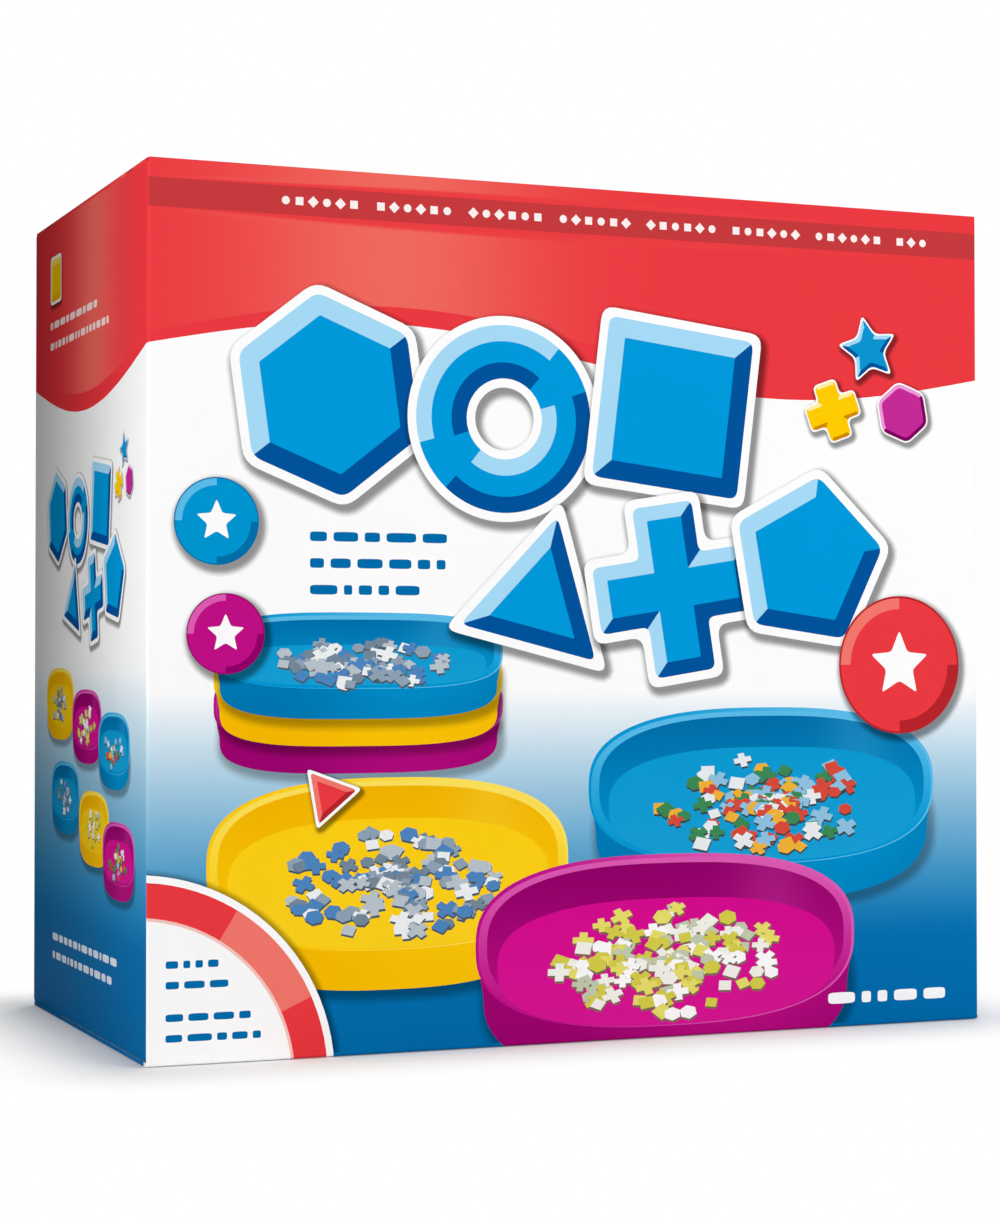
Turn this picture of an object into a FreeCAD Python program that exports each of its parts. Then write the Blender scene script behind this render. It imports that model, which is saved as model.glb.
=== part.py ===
import FreeCAD, Part
import math
import os
import Sketcher

# Boxed set of puzzle sorting trays
# A printed folding carton stands on its glued bottom, with its front face
# towards -Y. Six jigsaw-shaped trays nest in it on edge, open side forwards.
# The lid tucks in behind the front panel and turns on the back panel.

SIZES = (
    ("board", 1.2),
    ("crease_radius", 1.0),
    ("flap_play", 0.3),
    ("side_room", 14.8),
    ("head_room", 11.2),
    ("front_play", 0.5),
    ("back_room", 20.0),
    ("glue_flap_width", 24),
    ("glue_flap_taper", 12),
    ("bottom_back_flap_depth", 42),
    ("bottom_side_flap_length", 70),
    ("tuck_length", 20),
    ("tuck_lean", 8),
    ("tuck_gap", 0.3),
    ("tuck_side_play", 1.6),
    ("tuck_corner", 10),
    ("dust_flap_length", 60),
    ("dust_front_play", 2),
    ("dust_back_play", 6),
    ("dust_shoulder", 6),
    ("dust_bevel_angle", 41.5),
    ("dust_corner", 10),
    ("tray_side", 215),
    ("tray_height", 30),
    ("tray_wall", 1.6),
    ("tray_floor", 1.8),
    ("corner_radius", 6),
    ("ledge_depth", 10.8),
    ("ledge_width", 5.3),
    ("nest_gap", 0.5),
    ("neck_width", 74),
    ("head_overhang", 5),
    ("root_radius", 7),
    ("head_radius", 12.5),
    ("tab_crown", 2.5),
    ("tab_play", 0.6),
)
TRAY_COUNT = 6

doc = FreeCAD.newDocument("boxed_sorting_trays")
sheet = doc.addObject("Spreadsheet::Sheet", "sizes")
for row, (alias, number) in enumerate(SIZES, start=1):
    sheet.set(f"A{row}", alias)
    sheet.set(f"B{row}", str(number))
    sheet.setAlias(f"B{row}", alias)
doc.recompute()

# Worked-out sizes
# A tab rises from its root arcs through its head arcs to a low crown. Trays
# fix the carton's inner size, and the carton adds its boards and its room.
BOARD = "sizes.board"
TWO_BOARDS = "(2*sizes.board)"
ARCS = "(sizes.root_radius + sizes.head_radius)"
HEAD_RISE = f"(sizes.root_radius + sqrt(sizes.head_overhang*(2*{ARCS} - sizes.head_overhang)))"
TAB_REACH = f"({HEAD_RISE} + sizes.head_radius + sizes.tab_crown)"
TRAY_SPAN = f"(sizes.tray_side + {TAB_REACH})"
NEST_PITCH = "(sizes.tray_height - sizes.ledge_depth)"
STACK_DEPTH = f"(sizes.tray_height + {TRAY_COUNT - 1}*{NEST_PITCH})"
DRAFT = f"((sizes.tray_wall + sizes.nest_gap)/{NEST_PITCH})"
HALF_WIDTH = f"(0.5*{TRAY_SPAN} + sizes.side_room + {BOARD})"
TUCK_REACH = f"(sizes.tuck_gap + sizes.tuck_length*sin(1deg*sizes.tuck_lean) + {BOARD})"
FRONT_ROOM = f"({TUCK_REACH} + sizes.front_play)"
HALF_DEPTH = f"(0.5*({STACK_DEPTH} + {FRONT_ROOM} + sizes.back_room) + {BOARD})"
HEIGHT = f"({TRAY_SPAN} + sizes.head_room + 4*{BOARD})"
BEND_INSET = "(sizes.crease_radius*(1 - sqrt(0.5)))"
LID_FRONT = f"(-{HALF_DEPTH} + {BOARD} + sizes.tuck_gap)"
TUCK_MITRE = f"({BOARD}/tan(45deg - 0.5deg*sizes.tuck_lean))"


def value(expression):
    """The number that an expression gives with the sheet's present sizes."""
    return sheet.evalExpression(expression)


def plane(body, role):
    """One of a body's own origin planes."""
    return [feature for feature in body.Origin.OriginFeatures if feature.Role == role][0]


def draw(body, role, corners, bends=None, offset="0"):
    """A closed sketch on an origin plane of a body, anticlockwise through its corners.

    Each corner is a pair of expressions. bends gives, for an edge that is an
    arc, the expressions of its centre, under the number of its first corner.
    offset moves the sketch along the plane's normal.
    """
    bends = bends or {}
    sketch = body.newObject("Sketcher::SketchObject", body.Name + "_outline")
    sketch.AttachmentSupport = [(plane(body, role), "")]
    sketch.MapMode = "FlatFace"
    sketch.setExpression("AttachmentOffset.Base.z", offset)
    points = [FreeCAD.Vector(value(x), value(y), 0) for x, y in corners]
    count = len(points)
    for edge, start in enumerate(points):
        end = points[(edge + 1) % count]
        if edge in bends:
            centre = FreeCAD.Vector(value(bends[edge][0]), value(bends[edge][1]), 0)
            arm, last = start - centre, end - centre
            circle = Part.Circle(centre, FreeCAD.Vector(0, 0, 1), arm.Length)
            sketch.addGeometry(Part.ArcOfCircle(circle, math.atan2(arm.y, arm.x), math.atan2(last.y, last.x)))
        else:
            sketch.addGeometry(Part.LineSegment(start, end))
    for edge in range(count):
        sketch.addConstraint(Sketcher.Constraint("Coincident", edge, 2, (edge + 1) % count, 1))
    places = [("DistanceX", edge, 1, x) for edge, (x, y) in enumerate(corners)]
    places += [("DistanceY", edge, 1, y) for edge, (x, y) in enumerate(corners)]
    places += [("DistanceX", edge, 3, bends[edge][0]) for edge in bends]
    for kind, edge, point, expression in places:
        constraint = Sketcher.Constraint(kind, -1, 1, edge, point, value(expression))
        number = sketch.addConstraint(constraint)
        sketch.setExpression(f"Constraints[{number}]", expression)
    return sketch


def pad(body, sketch, length, midplane=False):
    """Thicken a sketch along its normal, or evenly to both sides."""
    feature = body.newObject("PartDesign::Pad", body.Name + "_pad")
    feature.Profile = sketch
    feature.setExpression("Length", length)
    feature.Midplane = midplane
    sketch.Visibility = False
    return feature


def pocket(body, sketch, length):
    """Cut a sketch out of a body, evenly to both sides of its plane."""
    feature = body.newObject("PartDesign::Pocket", body.Name + "_pocket")
    feature.Profile = sketch
    feature.setExpression("Length", length)
    feature.Midplane = True
    sketch.Visibility = False
    return feature


def new_body(name):
    """A body whose label names its sub-part."""
    body = doc.addObject("PartDesign::Body", name)
    body.Label = name
    return body


def negative(expression):
    return f"(-({expression}))"


# Upright panels
# Seen from above each panel ends in a mitre, and its outer corners are bent
# round by the crease radius. turn carries the front panel's outline to
# another side: along the panel, and outwards from the carton's middle.
def wall(name, half_along, half_out, turn, bottom, top):
    body = new_body(name)
    near_end, bend_end = f"({half_along} - {BEND_INSET})", f"({half_along} - sizes.crease_radius)"
    inner_end = f"({half_along} - {BOARD})"
    bend_out, inner_out = f"({half_out} - {BEND_INSET})", f"({half_out} - {BOARD})"
    centre_out = f"({half_out} - sizes.crease_radius)"
    local = (
        (negative(near_end), bend_out),
        (negative(bend_end), half_out),
        (bend_end, half_out),
        (near_end, bend_out),
        (inner_end, inner_out),
        (negative(inner_end), inner_out),
    )
    corners = [turn(along, out) for along, out in local]
    bends = {0: turn(negative(bend_end), centre_out), 2: turn(bend_end, centre_out)}
    pad(body, draw(body, "XY_Plane", corners, bends, bottom), f"{top} - {bottom}")
    return body


def top_mitre(body, role, half_out, side, top):
    """Bevel a panel's top edge, so that it meets its flap along the outer corner."""
    inner = f"({side}*({half_out} - {BOARD}))"
    outer = f"({side}*{half_out})"
    low = f"({top} - {BOARD})"
    corners = [(inner, low), (outer, top), (inner, top)]
    if side < 0:
        corners.reverse()
    pocket(body, draw(body, role, corners), f"4*({HALF_WIDTH} + {HALF_DEPTH})")


SIDE_TOP = f"({HEIGHT} - {BOARD})"
wall("front_panel", HALF_WIDTH, HALF_DEPTH, lambda along, out: (along, negative(out)), BOARD, HEIGHT)
back = wall("back_panel", HALF_WIDTH, HALF_DEPTH, lambda along, out: (negative(along), out),
            TWO_BOARDS, HEIGHT)
top_mitre(back, "YZ_Plane", HALF_DEPTH, 1, HEIGHT)
right = wall("right_panel", HALF_DEPTH, HALF_WIDTH, lambda along, out: (out, along), TWO_BOARDS, SIDE_TOP)
top_mitre(right, "XZ_Plane", HALF_WIDTH, 1, SIDE_TOP)
left = wall("left_panel", HALF_DEPTH, HALF_WIDTH, lambda along, out: (negative(out), negative(along)),
            TWO_BOARDS, SIDE_TOP)
top_mitre(left, "XZ_Plane", HALF_WIDTH, -1, SIDE_TOP)

# Glue flap
# It comes off the right panel's back edge and is glued inside the back panel.
body = new_body("glue_flap")
flap_inner = f"({HALF_WIDTH} - {BOARD} - sizes.glue_flap_width)"
flap_outer = f"({HALF_WIDTH} - {BOARD})"
flap_foot = f"({TWO_BOARDS} + sizes.flap_play)"
flap_head = f"({HEIGHT} - {TWO_BOARDS} - sizes.flap_play)"
corners = [
    (flap_inner, f"{flap_foot} + sizes.glue_flap_taper"),
    (flap_outer, flap_foot),
    (flap_outer, flap_head),
    (flap_inner, f"{flap_head} - sizes.glue_flap_taper"),
]
sketch = draw(body, "XZ_Plane", corners, offset=f"-({HALF_DEPTH} - {TWO_BOARDS})")
pad(body, sketch, BOARD).Reversed = True

# Glued bottom
# The bottom panel comes off the front panel and lies under three flaps, which
# come off the back panel and the side panels and share one layer.
LAYER_FOOT = f"({BOARD} + sizes.crease_radius)"
body = new_body("bottom_panel")
corners = [
    (negative(HALF_DEPTH), "sizes.crease_radius"),
    (f"(-{HALF_DEPTH} + sizes.crease_radius)", "0"),
    (f"({HALF_DEPTH} - sizes.flap_play)", "0"),
    (f"({HALF_DEPTH} - sizes.flap_play)", BOARD),
    (negative(HALF_DEPTH), BOARD),
]
bends = {0: (f"(-{HALF_DEPTH} + sizes.crease_radius)", "sizes.crease_radius")}
pad(body, draw(body, "YZ_Plane", corners, bends), f"2*({HALF_WIDTH} - sizes.flap_play)", midplane=True)

body = new_body("bottom_back_flap")
flap_edge = f"({HALF_DEPTH} - sizes.bottom_back_flap_depth)"
corners = [
    (flap_edge, BOARD),
    (f"({HALF_DEPTH} - sizes.crease_radius)", BOARD),
    (HALF_DEPTH, LAYER_FOOT),
    (HALF_DEPTH, TWO_BOARDS),
    (flap_edge, TWO_BOARDS),
]
bends = {1: (f"({HALF_DEPTH} - sizes.crease_radius)", LAYER_FOOT)}
pad(body, draw(body, "YZ_Plane", corners, bends), f"2*({HALF_WIDTH} - sizes.flap_play)", midplane=True)

side_flap_front = f"(-{HALF_DEPTH} + {BOARD} + sizes.flap_play)"
side_flap_back = f"({flap_edge} - sizes.flap_play)"
for name, side in (("bottom_left_flap", -1), ("bottom_right_flap", 1)):
    body = new_body(name)
    outer = f"({side}*{HALF_WIDTH})"
    bend = f"({side}*({HALF_WIDTH} - sizes.crease_radius))"
    inner = f"({side}*({HALF_WIDTH} - sizes.bottom_side_flap_length))"
    corners = [(inner, BOARD), (bend, BOARD), (outer, LAYER_FOOT), (outer, TWO_BOARDS), (inner, TWO_BOARDS)]
    bends = {1: (bend, LAYER_FOOT)}
    if side < 0:
        corners.reverse()
        bends = {2: (bend, LAYER_FOOT)}
    sketch = draw(body, "XZ_Plane", corners, bends, offset=negative(side_flap_back))
    pad(body, sketch, f"{side_flap_back} - {side_flap_front}")

# Lid
# It turns on the back panel's top outer edge, and carries the tuck flap on
# its front edge. Where two of these boards meet, each is bevelled to half
# the angle between them, so they part along the outer corner.
body = new_body("lid_panel")
corners = [
    (LID_FRONT, HEIGHT),
    (f"({LID_FRONT} + {TUCK_MITRE})", f"({HEIGHT} - {BOARD})"),
    (f"({HALF_DEPTH} - {BOARD})", f"({HEIGHT} - {BOARD})"),
    (HALF_DEPTH, HEIGHT),
]
pad(body, draw(body, "YZ_Plane", corners), f"2*({HALF_WIDTH} - sizes.flap_play)", midplane=True)

# Tuck flap
# It hangs from the lid's front edge and leans in from the front panel, so
# that its tip swings clear. It is drawn upright, with its hinge at the origin.
body = new_body("tuck_flap")
tuck_half = f"({HALF_WIDTH} - {BOARD} - sizes.tuck_side_play)"
tuck_bend = f"({tuck_half} - sizes.tuck_corner)"
tuck_foot = f"(-sizes.tuck_length + sizes.tuck_corner)"
corners = [
    (negative(tuck_bend), "-sizes.tuck_length"),
    (tuck_bend, "-sizes.tuck_length"),
    (tuck_half, tuck_foot),
    (tuck_half, "0"),
    (negative(tuck_half), "0"),
    (negative(tuck_half), tuck_foot),
]
bends = {1: (tuck_bend, tuck_foot), 5: (negative(tuck_bend), tuck_foot)}
sketch = draw(body, "XZ_Plane", corners, bends)
pad(body, sketch, BOARD).Reversed = True
corners = [("0", "0"), (BOARD, f"-{TUCK_MITRE}"), (BOARD, "0")]
pocket(body, draw(body, "YZ_Plane", corners), f"4*{HALF_WIDTH}")
body.Placement = FreeCAD.Placement(FreeCAD.Vector(), FreeCAD.Rotation(FreeCAD.Vector(1, 0, 0), value("sizes.tuck_lean")))
body.setExpression("Placement.Rotation.Angle", "sizes.tuck_lean")
body.setExpression("Placement.Base.y", LID_FRONT)
body.setExpression("Placement.Base.z", HEIGHT)

# Dust flaps
# They lie under the lid. The edge next to the lid's hinge is cut back on a
# slant, so that a flap can rise while the lid does, and the front corner is
# rounded.
dust_top, dust_foot = SIDE_TOP, f"({HEIGHT} - {TWO_BOARDS})"
dust_front = f"({LID_FRONT} + {BOARD} + sizes.dust_front_play)"
dust_back = f"({HALF_DEPTH} - sizes.dust_back_play)"
dust_slant = "((sizes.dust_flap_length - sizes.dust_shoulder)*tan(1deg*sizes.dust_bevel_angle))"
for name, side in (("dust_flap_left", -1), ("dust_flap_right", 1)):
    body = new_body(name)
    outer = f"({side}*{HALF_WIDTH})"
    inner = f"({side}*({HALF_WIDTH} - {BOARD}))"
    tip = f"({side}*({HALF_WIDTH} - sizes.dust_flap_length))"
    shoulder = f"({side}*({HALF_WIDTH} - sizes.dust_shoulder))"
    corners = [(tip, dust_foot), (inner, dust_foot), (outer, dust_top), (tip, dust_top)]
    if side < 0:
        corners.reverse()
    sketch = draw(body, "XZ_Plane", corners, offset=negative(dust_back))
    pad(body, sketch, f"{dust_back} - {dust_front}")
    corners = [(tip, f"({dust_back} - {dust_slant})"), (shoulder, dust_back), (tip, dust_back)]
    if side < 0:
        corners.reverse()
    pocket(body, draw(body, "XY_Plane", corners), f"4*{HEIGHT}")
    doc.recompute()
    rounding = body.newObject("PartDesign::Fillet", name + "_corner")
    corner = FreeCAD.Vector(value(tip), value(dust_front), value(f"0.5*({dust_top} + {dust_foot})"))
    edges = body.Tip.Shape.Edges if body.Tip != rounding else rounding.BaseFeature.Shape.Edges
    nearest = min(range(len(edges)), key=lambda number: (edges[number].CenterOfMass - corner).Length)
    rounding.Base = (rounding.BaseFeature, [f"Edge{nearest + 1}"])
    rounding.setExpression("Radius", "sizes.dust_corner")


# Tray outline
# A square whose right and top sides carry a tab, and whose left and bottom
# sides have a socket for a neighbour's tab. A side is drawn in its own
# directions, along it and out from it, and then turned into place.
def knob(neck_half, overhang, root, head, crown, play):
    """The arcs of half a tab, from the side's line to the middle of its top.

    root, head and top circles touch each other, so each pair meets at a
    tangent. A socket is the same tab grown by play. Points come as
    (along, out), from the root's start to the top's middle.
    """
    reach = root + head
    rise = math.sqrt(overhang * (2 * reach - overhang))
    root_at = (neck_half + root, root)
    head_at = (neck_half + overhang - head, root + rise)
    drop = head + crown
    top_radius = (head_at[0] ** 2 + drop ** 2 - head ** 2) / (2 * crown)
    top_at = (0.0, root + rise + drop - top_radius)
    lean = math.atan2(rise, root_at[0] - head_at[0])
    slope = math.atan2(head_at[1] - top_at[1], head_at[0])

    def point(centre, radius, angle):
        return (centre[0] + radius * math.cos(angle), centre[1] - play + radius * math.sin(angle))

    root_angles = (1.5 * math.pi, 0.5 * (1.5 * math.pi + math.pi - lean), math.pi - lean)
    head_angles = (-lean, 0.5 * (slope - lean), slope)
    points = [point(root_at, root - play, angle) for angle in root_angles]
    points += [point(head_at, head + play, angle) for angle in head_angles[1:]]
    points += [point(top_at, top_radius + play, angle) for angle in (0.5 * (slope + 0.5 * math.pi), 0.5 * math.pi)]
    return points


def tray_outline():
    """The wire of a tray's base, standing on the lower corner of its square."""
    side, radius, play = value("sizes.tray_side"), value("sizes.corner_radius"), value("sizes.tab_play")
    tab_sizes = [value(name) for name in ("0.5*sizes.neck_width", "sizes.head_overhang", "sizes.root_radius",
                                          "sizes.head_radius", "sizes.tab_crown")]
    half = 0.5 * side
    bulge = radius * (1 - math.sqrt(0.5))
    edges = []
    for quarter, is_tab in enumerate((False, True, True, False)):
        arcs = knob(*tab_sizes, 0.0 if is_tab else play)
        sign = 1 if is_tab else -1
        turn = FreeCAD.Rotation(FreeCAD.Vector(0, 0, 1), 90 * quarter)

        def placed(along, out):
            return turn.multVec(FreeCAD.Vector(along, -half - sign * out, 0)) + FreeCAD.Vector(half, half, 0)

        rising = [placed(-along, out) for along, out in arcs]
        falling = [placed(along, out) for along, out in reversed(arcs)]
        start, end = placed(-half + radius, 0), placed(half - radius, 0)
        edges.append(Part.LineSegment(start, rising[0]).toShape())
        edges += [Part.Arc(*rising[first:first + 3]).toShape() for first in (0, 2)]
        edges.append(Part.Arc(rising[4], rising[6], falling[2]).toShape())
        edges += [Part.Arc(*falling[first:first + 3]).toShape() for first in (2, 4)]
        edges.append(Part.LineSegment(falling[6], end).toShape())
        corner = turn.multVec(FreeCAD.Vector(half - bulge, -half + bulge, 0)) + FreeCAD.Vector(half, half, 0)
        after = turn.multVec(FreeCAD.Vector(half, -half + radius, 0)) + FreeCAD.Vector(half, half, 0)
        edges.append(Part.Arc(end, corner, after).toShape())
    return Part.Wire(edges)


outline = doc.addObject("Part::Feature", "tray_outline")
outline.Shape = tray_outline()


def inset(name, distance):
    """The tray's outline, drawn in by a distance."""
    ring = doc.addObject("Part::Offset2D", name)
    ring.Source = outline
    ring.Join = 2
    ring.setExpression("Value", negative(distance))
    return ring


def rise(name, base, length, foot="0", draft=None):
    """A solid that stands on an outline, drawn in as it rises where it has a draft."""
    block = doc.addObject("Part::Extrusion", name)
    block.Base = base
    block.DirMode = "Custom"
    block.Dir = FreeCAD.Vector(0, 0, 1)
    block.Solid = True
    block.setExpression("LengthFwd", length)
    block.setExpression("Placement.Base.z", foot)
    if draft:
        block.setExpression("TaperAngle", f"-atan({draft})")
    return block


def cut(name, base, tool):
    result = doc.addObject("Part::Cut", name)
    result.Base = base
    result.Tool = tool
    return result


# Tray
# The outer wall leans in as it rises, so a tray's skirt slips over the rim of
# the tray below. Under the rim a ledge runs round, and there the wall splits
# into the skirt and the well's own wall, with a groove between them that is
# open underneath. The floor of the tray above sits on the ledge.
LEDGE_TOP = NEST_PITCH
RIM_INSET = f"(sizes.tray_height*{DRAFT} + sizes.tray_wall)"
WELL_INSET = f"({RIM_INSET} + sizes.ledge_width)"
GROOVE_TOP = f"({LEDGE_TOP} - sizes.tray_wall)"

block = rise("tray_block", outline, "sizes.tray_height", draft=DRAFT)
mouth = rise("tray_mouth", inset("rim_line", RIM_INSET), "2*sizes.ledge_depth", LEDGE_TOP)
well = rise("tray_well", inset("well_line", WELL_INSET), "sizes.tray_height", "sizes.tray_floor")
hollow = doc.addObject("Part::Fuse", "tray_hollow")
hollow.Base = mouth
hollow.Tool = well
skirt_space = rise("skirt_space", inset("skirt_line", "sizes.tray_wall"), GROOVE_TOP, draft=DRAFT)
well_wall = rise("well_wall", inset("well_wall_line", f"({WELL_INSET} - sizes.tray_wall)"), GROOVE_TOP)
groove = cut("tray_groove", skirt_space, well_wall)
shell = cut("tray_shell", block, hollow)

# Nested stack
# On edge in the carton: the first tray's base is at the back, and each next
# one sits in the rim of the one behind it.
trays = []
for number in range(TRAY_COUNT):
    tray = cut(f"tray_{number + 1}", shell, groove)
    tray.Label = f"tray_{number + 1}"
    base_at = f"({HALF_DEPTH} - {BOARD} - sizes.back_room - {number}*{NEST_PITCH})"
    tray.Placement = FreeCAD.Placement(FreeCAD.Vector(), FreeCAD.Rotation(FreeCAD.Vector(1, 0, 0), 90))
    tray.setExpression("Placement.Base.x", f"-0.5*{TRAY_SPAN}")
    tray.setExpression("Placement.Base.y", base_at)
    tray.setExpression("Placement.Base.z", TWO_BOARDS)
    trays.append(tray)

doc.recompute()

# Files
# Every object has to be sound before any sub-part is written.
for item in doc.Objects:
    if "Invalid" in item.State or "Error" in item.State:
        raise RuntimeError(f"{item.Label} did not build")
sub_parts = [item for item in doc.Objects if item.TypeId == "PartDesign::Body"] + trays
for item in sub_parts:
    if item.Shape.isNull() or not item.Shape.isValid() or not item.Shape.Solids:
        raise RuntimeError(f"{item.Label} has no sound shape")
os.makedirs("parts", exist_ok=True)
for item in sub_parts:
    item.Shape.exportStep(f"parts/{item.Label}.step")
    print(item.Label, len(item.Shape.Solids), round(item.Shape.Volume, 1))
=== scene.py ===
import math

import bmesh
import bpy
import numpy as np
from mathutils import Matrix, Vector
from mathutils.geometry import delaunay_2d_cdt


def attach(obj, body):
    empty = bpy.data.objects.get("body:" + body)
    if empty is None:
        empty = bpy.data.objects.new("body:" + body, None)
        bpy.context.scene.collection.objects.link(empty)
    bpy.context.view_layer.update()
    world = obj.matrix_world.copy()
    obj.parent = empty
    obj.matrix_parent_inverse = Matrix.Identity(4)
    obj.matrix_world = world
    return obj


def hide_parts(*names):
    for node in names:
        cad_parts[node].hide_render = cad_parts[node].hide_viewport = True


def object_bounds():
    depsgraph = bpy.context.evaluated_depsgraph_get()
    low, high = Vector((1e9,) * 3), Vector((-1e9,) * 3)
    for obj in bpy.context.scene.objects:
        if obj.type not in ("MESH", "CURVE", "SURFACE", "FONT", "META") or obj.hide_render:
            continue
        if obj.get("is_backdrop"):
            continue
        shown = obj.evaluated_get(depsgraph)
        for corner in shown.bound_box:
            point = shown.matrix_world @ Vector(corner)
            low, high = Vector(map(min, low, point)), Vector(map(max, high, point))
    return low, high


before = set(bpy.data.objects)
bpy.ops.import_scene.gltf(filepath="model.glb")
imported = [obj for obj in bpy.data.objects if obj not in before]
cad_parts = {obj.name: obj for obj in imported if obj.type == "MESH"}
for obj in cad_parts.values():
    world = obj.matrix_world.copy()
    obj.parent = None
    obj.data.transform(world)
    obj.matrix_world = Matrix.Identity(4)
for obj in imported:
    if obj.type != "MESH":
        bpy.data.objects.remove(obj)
cad_low, cad_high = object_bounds()

MM = 0.001

# The carton in millimetres, as the frame has it
WIDTH = 282.0384
DEPTH = 153.1834
HEIGHT = 266.0384
BOARD = 1.2
CREASE = 1.0
FLAP_PLAY = 0.3
LID_FRONT = 1.5
TUCK_LENGTH = 20.0
TUCK_LEAN = math.radians(8.0)
TUCK_SIDE = 2.8
TUCK_MITRE = BOARD / math.tan(0.5 * (0.5 * math.pi - TUCK_LEAN))
TUCK_CORNER = 10.0
OVERSCAN = 8.0  # how far the print's sheets reach past a panel, so that it runs over every crease

# Printing inks, as sRGB
# RED_PALE_AND_SHEEN is the paler red of the painted sheen on the red fields, and of a pale line on the lid
RED, RED_PALE_AND_SHEEN, RED_DARK, RED_EDGE = "#EC3A41", "#F26C60", "#C63A3D", "#B8242C"
BLUE, BLUE_LIGHT, BLUE_DARK = "#009ADC", "#A6DBF7", "#00539C"
SEA, SEA_DEEP = "#0674B4", "#006CAA"
WHITE = "#FFFFFF"
DISH_INKS = {
    "blue": ("#5CBDEA", "#0096D2", "#0070AA"),
    "yellow": ("#FFE45C", "#FFCC08", "#F6B600"),
    "magenta": ("#DE5CB4", "#C00F86", "#920069"),
    "red": ("#F4786C", "#EC3A41", "#B8242C"),
}
DISH_BEDS = {"blue": "#0A9AD2", "yellow": "#FFD012", "magenta": "#D60A8E"}
BITS = {
    # five face inks and the edge
    "cool": ("#B9C4CC", "#8FA3B5", "#4E86C0", "#EEF2F4", "#74899A", "#4A5A68"),
    "warm": ("#F4F4EA", "#E8E06A", "#D6CF4A", "#FFFFFF", "#C3CDB0", "#7A6A50"),
    "mixed": ("#D94B3A", "#3C8A55", "#E9EEF0", "#8FC3E0", "#F0B33A", "#3A4A50"),
}


def columns(*parts):
    """Arrays of one length, side by side."""
    return np.stack(parts, axis=1)


def rgb(code):
    """An sRGB hex value as three numbers from 0 to 1."""
    return np.array([int(code[i:i + 2], 16) for i in (1, 3, 5)]) / 255.0


def linear(colour):
    """sRGB numbers to linear light: c/12.92 below 0.04045, and ((c + 0.055)/1.055) to the power 2.4 above."""
    colour = np.asarray(colour, float)
    return np.where(colour <= 0.04045, colour / 12.92, ((colour + 0.055) / 1.055) ** 2.4)


def blend_inks(first, second, share):
    """first + (second - first) times share, held between 0 and 1."""
    share = np.clip(np.asarray(share, float), 0.0, 1.0)[..., None]
    return first + (second - first) * share


# Outlines on the print, in millimetres, anticlockwise

def oval(centre, across, up, count=64, squareness=2.0):
    """A superellipse: each of cosine and sine keeps its sign and is raised to the power 2/squareness."""
    turn = np.linspace(0.0, 2.0 * np.pi, count, endpoint=False)
    power = 2.0 / squareness
    c, s = np.cos(turn), np.sin(turn)
    return columns(centre[0] + across * np.sign(c) * np.abs(c) ** power,
                   centre[1] + up * np.sign(s) * np.abs(s) ** power)


def disc(centre, radius, count=96):
    """A circle."""
    return oval(centre, radius, radius, count)


def sheet(low, high, width=WIDTH):
    """A rectangle from low to high that reaches past both sides of a panel."""
    left, right = -OVERSCAN, width + OVERSCAN
    return np.array([[left, low], [right, low], [right, high], [left, high]])


def regular(centre, radius, sides, lean=0.0, waist=1.0):
    """Corners of a regular polygon, or of a star where every other corner is at waist times the radius."""
    turn = np.radians(lean + 90.0) + np.arange(sides) * 2.0 * np.pi / sides
    reach = radius * np.where(np.arange(sides) % 2 == 0, 1.0, waist)
    return columns(centre[0] + reach * np.cos(turn), centre[1] + reach * np.sin(turn))


def plus(centre, reach, half, lean):
    """A cross of that reach with arms 2 half wide, turned by lean degrees."""
    a, b = reach, half
    points = np.array([[a, -b], [a, b], [b, b], [b, a], [-b, a], [-b, b],
                       [-a, b], [-a, -b], [-b, -b], [-b, -a], [b, -a], [b, -b]])
    t = math.radians(lean)
    turn = np.array([[math.cos(t), math.sin(t)], [-math.sin(t), math.cos(t)]])
    return points @ turn + np.array(centre)


def grown(points, by):
    """Every side moved outwards by that much, with mitred corners: each corner moves by
    (n1 + n2)/(1 + n1.n2), where n1 and n2 are the outward normals of its two sides."""
    side = np.roll(points, -1, axis=0) - points
    normal = columns(side[:, 1], -side[:, 0])
    normal /= np.linalg.norm(normal, axis=1, keepdims=True)
    before = np.roll(normal, 1, axis=0)
    share = 1.0 + (normal * before).sum(axis=1, keepdims=True)
    return points + by * (normal + before) / np.maximum(share, 0.25)


def softened(points, radius, steps=5):
    """Each corner replaced by a quadratic curve, from radius before it to radius after it, with the corner as its
    control point."""
    to_before = np.roll(points, 1, axis=0) - points
    to_after = np.roll(points, -1, axis=0) - points
    far_before = np.linalg.norm(to_before, axis=1, keepdims=True)
    far_after = np.linalg.norm(to_after, axis=1, keepdims=True)
    start = points + to_before * np.minimum(radius / far_before, 0.45)
    end = points + to_after * np.minimum(radius / far_after, 0.45)
    t = np.linspace(0.0, 1.0, steps)[None, :, None]
    curve = (1 - t) ** 2 * start[:, None] + 2 * (1 - t) * t * points[:, None] + t ** 2 * end[:, None]
    return curve.reshape(-1, 2)


def inside(points, loops):
    """Even-odd rule: a point is inside if a ray to its right crosses the loops' sides an odd number of times."""
    odd = np.zeros(len(points), bool)
    x, y = points[:, 0:1], points[:, 1:2]
    for loop in loops:
        a, b = loop, np.roll(loop, -1, axis=0)
        spans = (a[:, 1] > y) != (b[:, 1] > y)
        rise = np.where(b[:, 1] == a[:, 1], 1.0, b[:, 1] - a[:, 1])
        crossing = a[:, 0] + (y - a[:, 1]) / rise * (b[:, 0] - a[:, 0])
        odd ^= (np.count_nonzero(spans & (x < crossing), axis=1) % 2).astype(bool)
    return odd


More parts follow.
